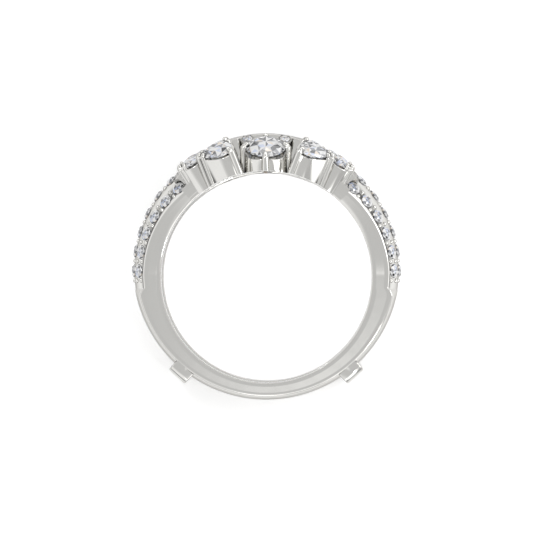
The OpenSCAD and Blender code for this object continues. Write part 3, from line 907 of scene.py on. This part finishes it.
def polished_gold_painted_shade():
    """Polished metal: a mirror with faint dull patches and the finest ripple, with painted shade in narrow
    places and crevices.
    """
    tones = bpy.context.scene.ring_tones
    shader = Shader("polished_gold_painted_shade")
    patches = shader.noise(900, 3, 0.6)
    ripple = {"Height": shader.noise(420), "Strength": 0.12, "Distance": 0.00002}
    # Painted shade: the base colour darkens where ambient occlusion finds crevices and narrow places; the
    # dull patches add a little random tone
    openness = shader.node("ShaderNodeAmbientOcclusion", {"samples": 8}, {"Distance": 0.0003})["AO"]
    deep = 1.0 - shader.smooth(openness, 0.2, 0.6) + (patches - 0.5) * 0.15
    return shader.surface(
        base_color=shader.mix(deep, tones.metal, tones.metal_deep),
        metallic=1.0,
        specular_tint=(0.5, 0.495, 0.485, 1),
        roughness=0.055 + patches * 0.06,
        normal=shader.node("ShaderNodeBump", {}, ripple)["Normal"],
    )


def faceted_stone_painted_sparkle():
    """Cut stone: clear and hard, with painted shade on its dark and half-dark facets and painted blue and
    amber glints.
    """
    tones = bpy.context.scene.ring_tones
    shader = Shader("faceted_stone_painted_sparkle")
    facet = shader.node("ShaderNodeAttribute", {"attribute_name": "facet"})["Fac"]
    glint = shader.noise(1400, 1)
    # Painted light: each facet's share paints it dark, half-dark, clear white, as a blue glint or as an
    # amber glint
    steps = (
        (0.0, tones.stone_deep),
        (0.22, tones.stone_half),
        (0.4, tones.stone),
        (0.88, tones.stone_cool),
        (0.95, tones.stone_warm),
    )
    # Painted sparkle: the noise shifts the painted tone within each facet
    painted_sparkle = facet + (glint - 0.5) * 0.15
    return shader.surface(
        base_color=shader.node("ShaderNodeValToRGB", {"steps": steps}, {"Fac": painted_sparkle})["Color"],
        metallic=0.0,
        roughness=0.01 + glint * 0.01,
        ior=2.4,
        transmission_weight=0.4,
    )


# The floor's glow, partly painted light that is strongest inside the ring where the ring's shade falls:
# distances from the ring's middle in tenths of a metre, and how bright it glows there
GLOW = ((0.0, 1.0), (0.085, 0.95), (0.105, 0.36), (0.16, 0.25), (0.27, 0.24), (0.7, 0.0))


def pale_floor():
    """White floor that glows a little to stay evenly white, with painted light brightest inside the ring
    where the ring's shade falls, and that darkens outside the picture so that polish has that to show.
    """
    tones = bpy.context.scene.ring_tones
    shader = Shader("pale_floor")
    parts = shader.node("ShaderNodeSeparateXYZ", {}, {"Vector": shader.place()})
    x, y = parts["X"], parts["Y"]
    reach = (x * x + y * y) ** 0.5
    far = shader.smooth(reach, 0.026, 0.07)
    stops = [(place, (grey, grey, grey)) for place, grey in GLOW]
    # Painted light: the glow is strongest inside the ring, where the ring's shade falls
    glow = shader.node("ShaderNodeValToRGB", {"stops": stops}, {"Fac": reach * 10.0})["Color"]
    return shader.surface(
        base_color=shader.mix(far, tones.floor, tones.floor_far),
        roughness=0.6,
        emission_color=glow,
        emission_strength=0.55,
    )


def made_once(make):
    """The material that a function makes and that has its name, made when it is first asked for."""
    return bpy.data.materials.get(make.__name__) or make()


# Operators


# By kind of stone: where its claws stand, and half the spread of its V claw, in degrees
CLAW_ANGLES = {"round": (0, 90, 180, 270), "pear": (142, 218), "marquise": ()}
V_SPREAD = {"pear": 42, "marquise": 32}
CLEARANCE = 0.004 * MM
SHARP_FROM = radians(32)
PAST_ALL = 20 * MM


class RING_OT_metal(bpy.types.Operator):
    """Build the soldered metal: bands, rims, bars, baskets, columns and claws, less the stones' spaces"""

    bl_idname = "ring.metal"
    bl_label = "Metal"

    def execute(self, context):
        b, h, p = sizes()
        right, left = QUARTERS["front_right"], QUARTERS["front_left"]
        joined, cuts = [], []

        def join(solid, matrix):
            joined.append(solid.mesh("join", matrix))

        def cut(solid, matrix):
            cuts.append(solid.mesh("cut", matrix))

        join(rim_solid(b), right)
        join(floor_solid(b), right)
        stones = head_stones(b, h)
        lean = turn_x(h.tilt)
        reach = h.claw_reach
        for kind, mirrors in (("round", (right,)), ("pear", (right, left)), ("marquise", (right, left))):
            place, point, l, w, turn = stones[kind]
            spots = [point(radians(a), l + 2 * reach, w + 2 * reach) for a in CLAW_ANGLES[kind]]
            waves = 4 if kind == "round" else 0
            for mirror in mirrors:
                here = mirror @ place
                join(basket_solid(h, point, l, w, turn, waves), here)
                cut(pocket_solid(h, point, l, w, turn), here @ lean)
                for spot in spots:
                    join(column_solid(h, spot, h.column), here)
                    join(claw_solid(h, spot, h.claw), here @ lean)
                if kind in V_SPREAD:
                    tip = Matrix.Rotation(turn, 2) @ Vector((l / 2 + reach, 0))
                    upright, leaning = v_claw_solids(h, tip, turn, radians(V_SPREAD[kind]))
                    for solid in upright:
                        join(solid, here)
                    for solid in leaning:
                        join(solid, here @ lean)
        accent = at_accent(b, h)
        cup_plan = outline(round_point, h.accent_d + 2 * (h.gap + h.accent_wall), 0, 32)
        cup = prism(cup_plan, -0.7 * MM, 0.02 * MM, 0.03 * MM)
        for mirror in (right, left):
            join(cup, mirror @ accent)
            cut(seat_solid(h, h.accent_d), mirror @ accent)
            for place in pave_places(b, p):
                cut(seat_solid(h, p.stone), mirror @ place)
        hole = outline(round_point, 2 * HOLE_RADIUS + CLEARANCE, 0, 360)
        cuts.append(Solid().loft([lift(hole, z) for z in (-PAST_ALL, PAST_ALL)]).mesh("cut"))
        cuts.append(self.parted(b).mesh("cut"))
        shank = Solid().loft(shank_rings(b)).mesh("shank")
        band = boolean(boolean(shank, joined, "UNION"), cuts, "DIFFERENCE")
        other = band.copy()
        other.transform(TO_BACK)
        other.flip_normals()
        bars = [bar_solid(b).mesh("bar", turn_z(s * b.bar_angle)) for s in (-1, 1)]
        whole = boolean(boolean(band, [other], "UNION"), bars, "UNION")
        whole.transform(lying())
        whole.shade_smooth()
        whole.set_sharp_from_angle(angle=SHARP_FROM)
        finished("metal", whole, made_once(polished_gold_painted_shade), "white_gold", "guard_metal")
        return {"FINISHED"}

    def parted(self, b):
        """The space between the parted rims."""
        steps = 48
        reach = b.parting_reach - 0.1 * MM
        trip = [-reach + 2 * reach * i / steps for i in range(steps + 1)]
        plan = [(x, slot_at(b, x) - CLEARANCE) for x in trip]
        plan += [(x, CLEARANCE - slot_at(b, x)) for x in reversed(trip)]
        return Solid().loft([[Vector((x, y, s)) for x, s in plan] for y in (4 * MM, PAST_ALL)])


def scatter_tree():
    """Sets a template on each point of a mesh, turned by the point's own turn."""
    tree = bpy.data.node_groups.new("set_on_points", "GeometryNodeTree")
    sockets = {"Points": "Geometry", "Template": "Object", "Finish": "Material"}
    for name, kind in sockets.items():
        tree.interface.new_socket(name, in_out="INPUT", socket_type=f"NodeSocket{kind}")
    tree.interface.new_socket("Whole", in_out="OUTPUT", socket_type="NodeSocketGeometry")
    given = tree.nodes.new("NodeGroupInput")
    template = tree.nodes.new("GeometryNodeObjectInfo")
    turn = tree.nodes.new("GeometryNodeInputNamedAttribute")
    turn.data_type = "FLOAT_VECTOR"
    turn.inputs["Name"].default_value = "turn"
    put = tree.nodes.new("GeometryNodeInstanceOnPoints")
    real = tree.nodes.new("GeometryNodeRealizeInstances")
    paint = tree.nodes.new("GeometryNodeSetMaterial")
    out = tree.nodes.new("NodeGroupOutput")
    for giver, output, taker, socket in (
        (given, "Template", template, "Object"),
        (given, "Points", put, "Points"),
        (template, "Geometry", put, "Instance"),
        (turn, "Attribute", put, "Rotation"),
        (put, "Instances", real, "Geometry"),
        (real, "Geometry", paint, "Geometry"),
        (given, "Finish", paint, "Material"),
        (paint, "Geometry", out, "Whole"),
    ):
        tree.links.new(giver.outputs[output], taker.inputs[socket])
    return tree


def scattered(places, template, material):
    """One mesh with the template at every place."""
    tree = bpy.data.node_groups.get("set_on_points") or scatter_tree()
    points = bpy.data.meshes.new("points")
    points.from_pydata([place.to_translation() for place in places], [], [])
    turns = points.attributes.new("turn", "FLOAT_VECTOR", "POINT")
    for i, place in enumerate(places):
        turns.data[i].vector = Vector(place.to_3x3().normalized().to_euler())
    holder = loose_object("points", points)
    source = loose_object("template", template)
    modifier = holder.modifiers.new("scatter", "NODES")
    modifier.node_group = tree
    named = {s.name: s.identifier for s in tree.interface.items_tree if s.in_out == "INPUT"}
    modifier[named["Template"]] = source
    modifier[named["Finish"]] = material
    whole = evaluated(holder)
    holder.modifiers.clear()
    for done in (holder, source):
        mesh = done.data
        bpy.data.objects.remove(done)
        bpy.data.meshes.remove(mesh)
    return whole


def upright_place(mirror, place):
    """A mirrored place without its mirroring, for shapes that are alike on both hands."""
    matrix = mirror @ place
    if matrix.determinant() < 0:
        matrix = matrix @ TO_LEFT
    return lying() @ matrix


class RING_OT_beads(bpy.types.Operator):
    """Set the small beads that hold the pave stones"""

    bl_idname = "ring.beads"
    bl_label = "Beads"

    def execute(self, context):
        b, _h, p = sizes()
        material = made_once(polished_gold_painted_shade)
        mirrors = QUARTERS.values()
        places = [upright_place(mirror, place) for mirror in mirrors for place in bead_places(b, p)]
        turns = [pi * i / 9 for i in range(1, 9)]
        rings = [lift(outline(round_point, 2 * p.bead * sin(a), 0, 14), -p.bead * cos(a)) for a in turns]
        bead = Solid().loft(rings).mesh("bead")
        bead.shade_smooth()
        finished("pave_beads", scattered(places, bead, material), material, "white_gold")
        return {"FINISHED"}


class RING_OT_head_stones(bpy.types.Operator):
    """Cut and place the round, pear, marquise and accent stones of the head"""

    bl_idname = "ring.head_stones"
    bl_label = "Head stones"

    def execute(self, context):
        b, h, _p = sizes()
        material = made_once(faceted_stone_painted_sparkle)
        stones = head_stones(b, h)
        lean = turn_x(h.tilt)

        def finish(node, place, stone):
            mesh = faceted(stone.mesh(node, lying() @ place), True)
            finished(f"{node}_cut", mesh, material, "diamond", node)

        for end in ("front", "back"):
            place, *cut = stones["round"]
            finish(f"round_{end}", QUARTERS[f"{end}_right"] @ place @ lean, cut_stone(h, *cut, 64))
        for quarter, mirror in QUARTERS.items():
            for kind in ("pear", "marquise"):
                place, *cut = stones[kind]
                finish(f"{kind}_{quarter}", mirror @ place @ lean, cut_stone(h, *cut, 32))
            accent = cut_stone(h, round_point, h.accent_d, h.accent_d, 0, 16)
            finish(f"accent_{quarter}", mirror @ at_accent(b, h), accent)
        return {"FINISHED"}


class RING_OT_pave(bpy.types.Operator):
    """Cut one small stone and set it on every place of the pave fields"""

    bl_idname = "ring.pave"
    bl_label = "Pave stones"

    def execute(self, context):
        b, h, p = sizes()
        material = made_once(faceted_stone_painted_sparkle)
        for quarter, mirror in QUARTERS.items():
            places = [upright_place(mirror, place) for place in pave_places(b, p)]
            stone = faceted(cut_stone(h, round_point, p.stone, p.stone, 0.0, 16).mesh("stone"))
            whole = scattered(places, stone, material)
            finished(f"pave_{quarter}_cut", whole, material, "diamond", f"pave_{quarter}")
        return {"FINISHED"}


FLOOR_REACH = 0.6
# Lamps: name, way from the ring, distance, size and strength in watts
LAMPS = (
    ("key", (1.0, 0.15, 0.75), 0.30, 0.10, 0.11),
    ("front", (0.1, -1.0, 0.8), 0.34, 0.16, 0.08),
    ("rear", (0.0, 1.0, 0.9), 0.34, 0.16, 0.08),
    ("spark_left", (-0.5, 0.6, 1.0), 0.30, 0.03, 0.045),
    ("spark_right", (0.45, -0.5, 1.0), 0.30, 0.03, 0.045),
)


class RING_OT_studio(bpy.types.Operator):
    """Lay the floor, hang the lights and aim the camera"""

    bl_idname = "ring.studio"
    bl_label = "Studio"

    def execute(self, context):
        studio = context.scene.ring_studio
        self.floor()
        self.lights(studio)
        self.camera(studio)
        return {"FINISHED"}

    def floor(self):
        low = CAD_BOX[0][2]
        mesh = bpy.data.meshes.new("floor")
        corners = [(x * FLOOR_REACH, y * FLOOR_REACH, low) for x, y in ((-1, -1), (1, -1), (1, 1), (-1, 1))]
        mesh.from_pydata(corners, [], [(0, 1, 2, 3)])
        mesh.materials.append(made_once(pale_floor))
        loose_object("floor", mesh)

    def lights(self, studio):
        bpy.context.scene.world = self.sky(studio)
        middle = lying() @ Vector((0, 0, 0))
        for name, way, distance, size, watts in LAMPS:
            light = bpy.data.lights.new(name, "AREA")
            light.size = size
            light.energy = watts
            spot = middle + Vector(way).normalized() * distance
            aim = (middle - spot).to_track_quat("-Z", "Y").to_matrix().to_4x4()
            loose_object(name, light).matrix_world = Matrix.Translation(spot) @ aim

    def sky(self, studio):
        """Even light from above and white walls with darker gaps, so that polish and facets show."""
        world = bpy.data.worlds.new("studio")
        shader = Shader(world.name, world)
        way = shader.node("ShaderNodeTexCoord")["Generated"]
        parts = shader.node("ShaderNodeSeparateXYZ", {}, {"Vector": way})
        x, y, z = parts["X"], parts["Y"], parts["Z"]
        above = shader.smooth(z, 0.72, 0.93)
        stripes = shader.node("ShaderNodeMath", {"operation": "SINE"}, {0: x * 9.0 + y * 4.0})["Value"]
        panels = shader.smooth(stripes, -0.5, 0.1)
        lively = shader.smooth(x, -0.25, 0.15)
        ring = studio.soft + lively * (panels * (studio.wall - studio.gap) + studio.gap - studio.soft)
        ring = studio.low + shader.smooth(z, 0.12, 0.24) * (ring - studio.low)
        off = y - HOLE["axis"][1] + 0.01
        past = off + 0.045
        pool = 1.0 - (x * x + past * past) * 420.0
        even = pool.most(0.0) * studio.pool + shader.smooth(off, -0.2, -0.34) * 0.24 + studio.world
        given = {"Color": (1, 1, 1, 1), "Strength": above * even + (1.0 - above) * ring}
        lit = shader.node("ShaderNodeBackground", {}, given)["Background"]
        shader.node("ShaderNodeOutputWorld", {}, {"Surface": lit})
        return world

    def camera(self, studio):
        laid = lying()
        aim_x, aim_y = studio.aim_x, studio.aim_y
        aim = laid @ Vector((aim_x, aim_y, 0))
        eye = laid @ Vector((aim_x + studio.camera_right, aim_y + studio.camera_up, studio.distance))
        back = (eye - aim).normalized()
        across = (laid.to_3x3() @ Vector((0, 1, 0))).cross(back).normalized()
        up = back.cross(across)
        turned = Matrix((across, up, back)).transposed().to_4x4()
        data = bpy.data.cameras.new("camera")
        data.sensor_width = 36
        data.lens = studio.lens
        data.clip_start = 0.01
        camera = loose_object("camera", data)
        camera.matrix_world = Matrix.Translation(eye) @ turned
        bpy.context.scene.camera = camera
        bpy.context.scene.view_settings.view_transform = "Standard"


class RING_PT_panel(bpy.types.Panel):
    """Lists the ring's pieces, each with its button"""

    bl_idname = "RING_PT_panel"
    bl_label = "Ring guard"
    bl_space_type = "VIEW_3D"
    bl_region_type = "UI"
    bl_category = "Ring"

    def draw(self, context):
        for operator in OPERATORS:
            self.layout.operator(operator.bl_idname)


GROUPS = {
    "ring_bands": BandSizes,
    "ring_head": HeadSizes,
    "ring_pave": PaveSizes,
    "ring_tones": FinishTones,
    "ring_studio": StudioSizes,
}
OPERATORS = (RING_OT_studio, RING_OT_metal, RING_OT_beads, RING_OT_head_stones, RING_OT_pave)
CLASSES = (*GROUPS.values(), *OPERATORS, RING_PT_panel)


def register():
    for kind in CLASSES:
        bpy.utils.register_class(kind)
    for name, group in GROUPS.items():
        setattr(bpy.types.Scene, name, PointerProperty(type=group))


def unregister():
    for name in GROUPS:
        delattr(bpy.types.Scene, name)
    for kind in reversed(CLASSES):
        bpy.utils.unregister_class(kind)


def main():
    register()
    bpy.ops.ring.studio()
    bpy.ops.ring.metal()
    bpy.ops.ring.beads()
    bpy.ops.ring.head_stones()
    bpy.ops.ring.pave()


if __name__ == "__main__":
    main()
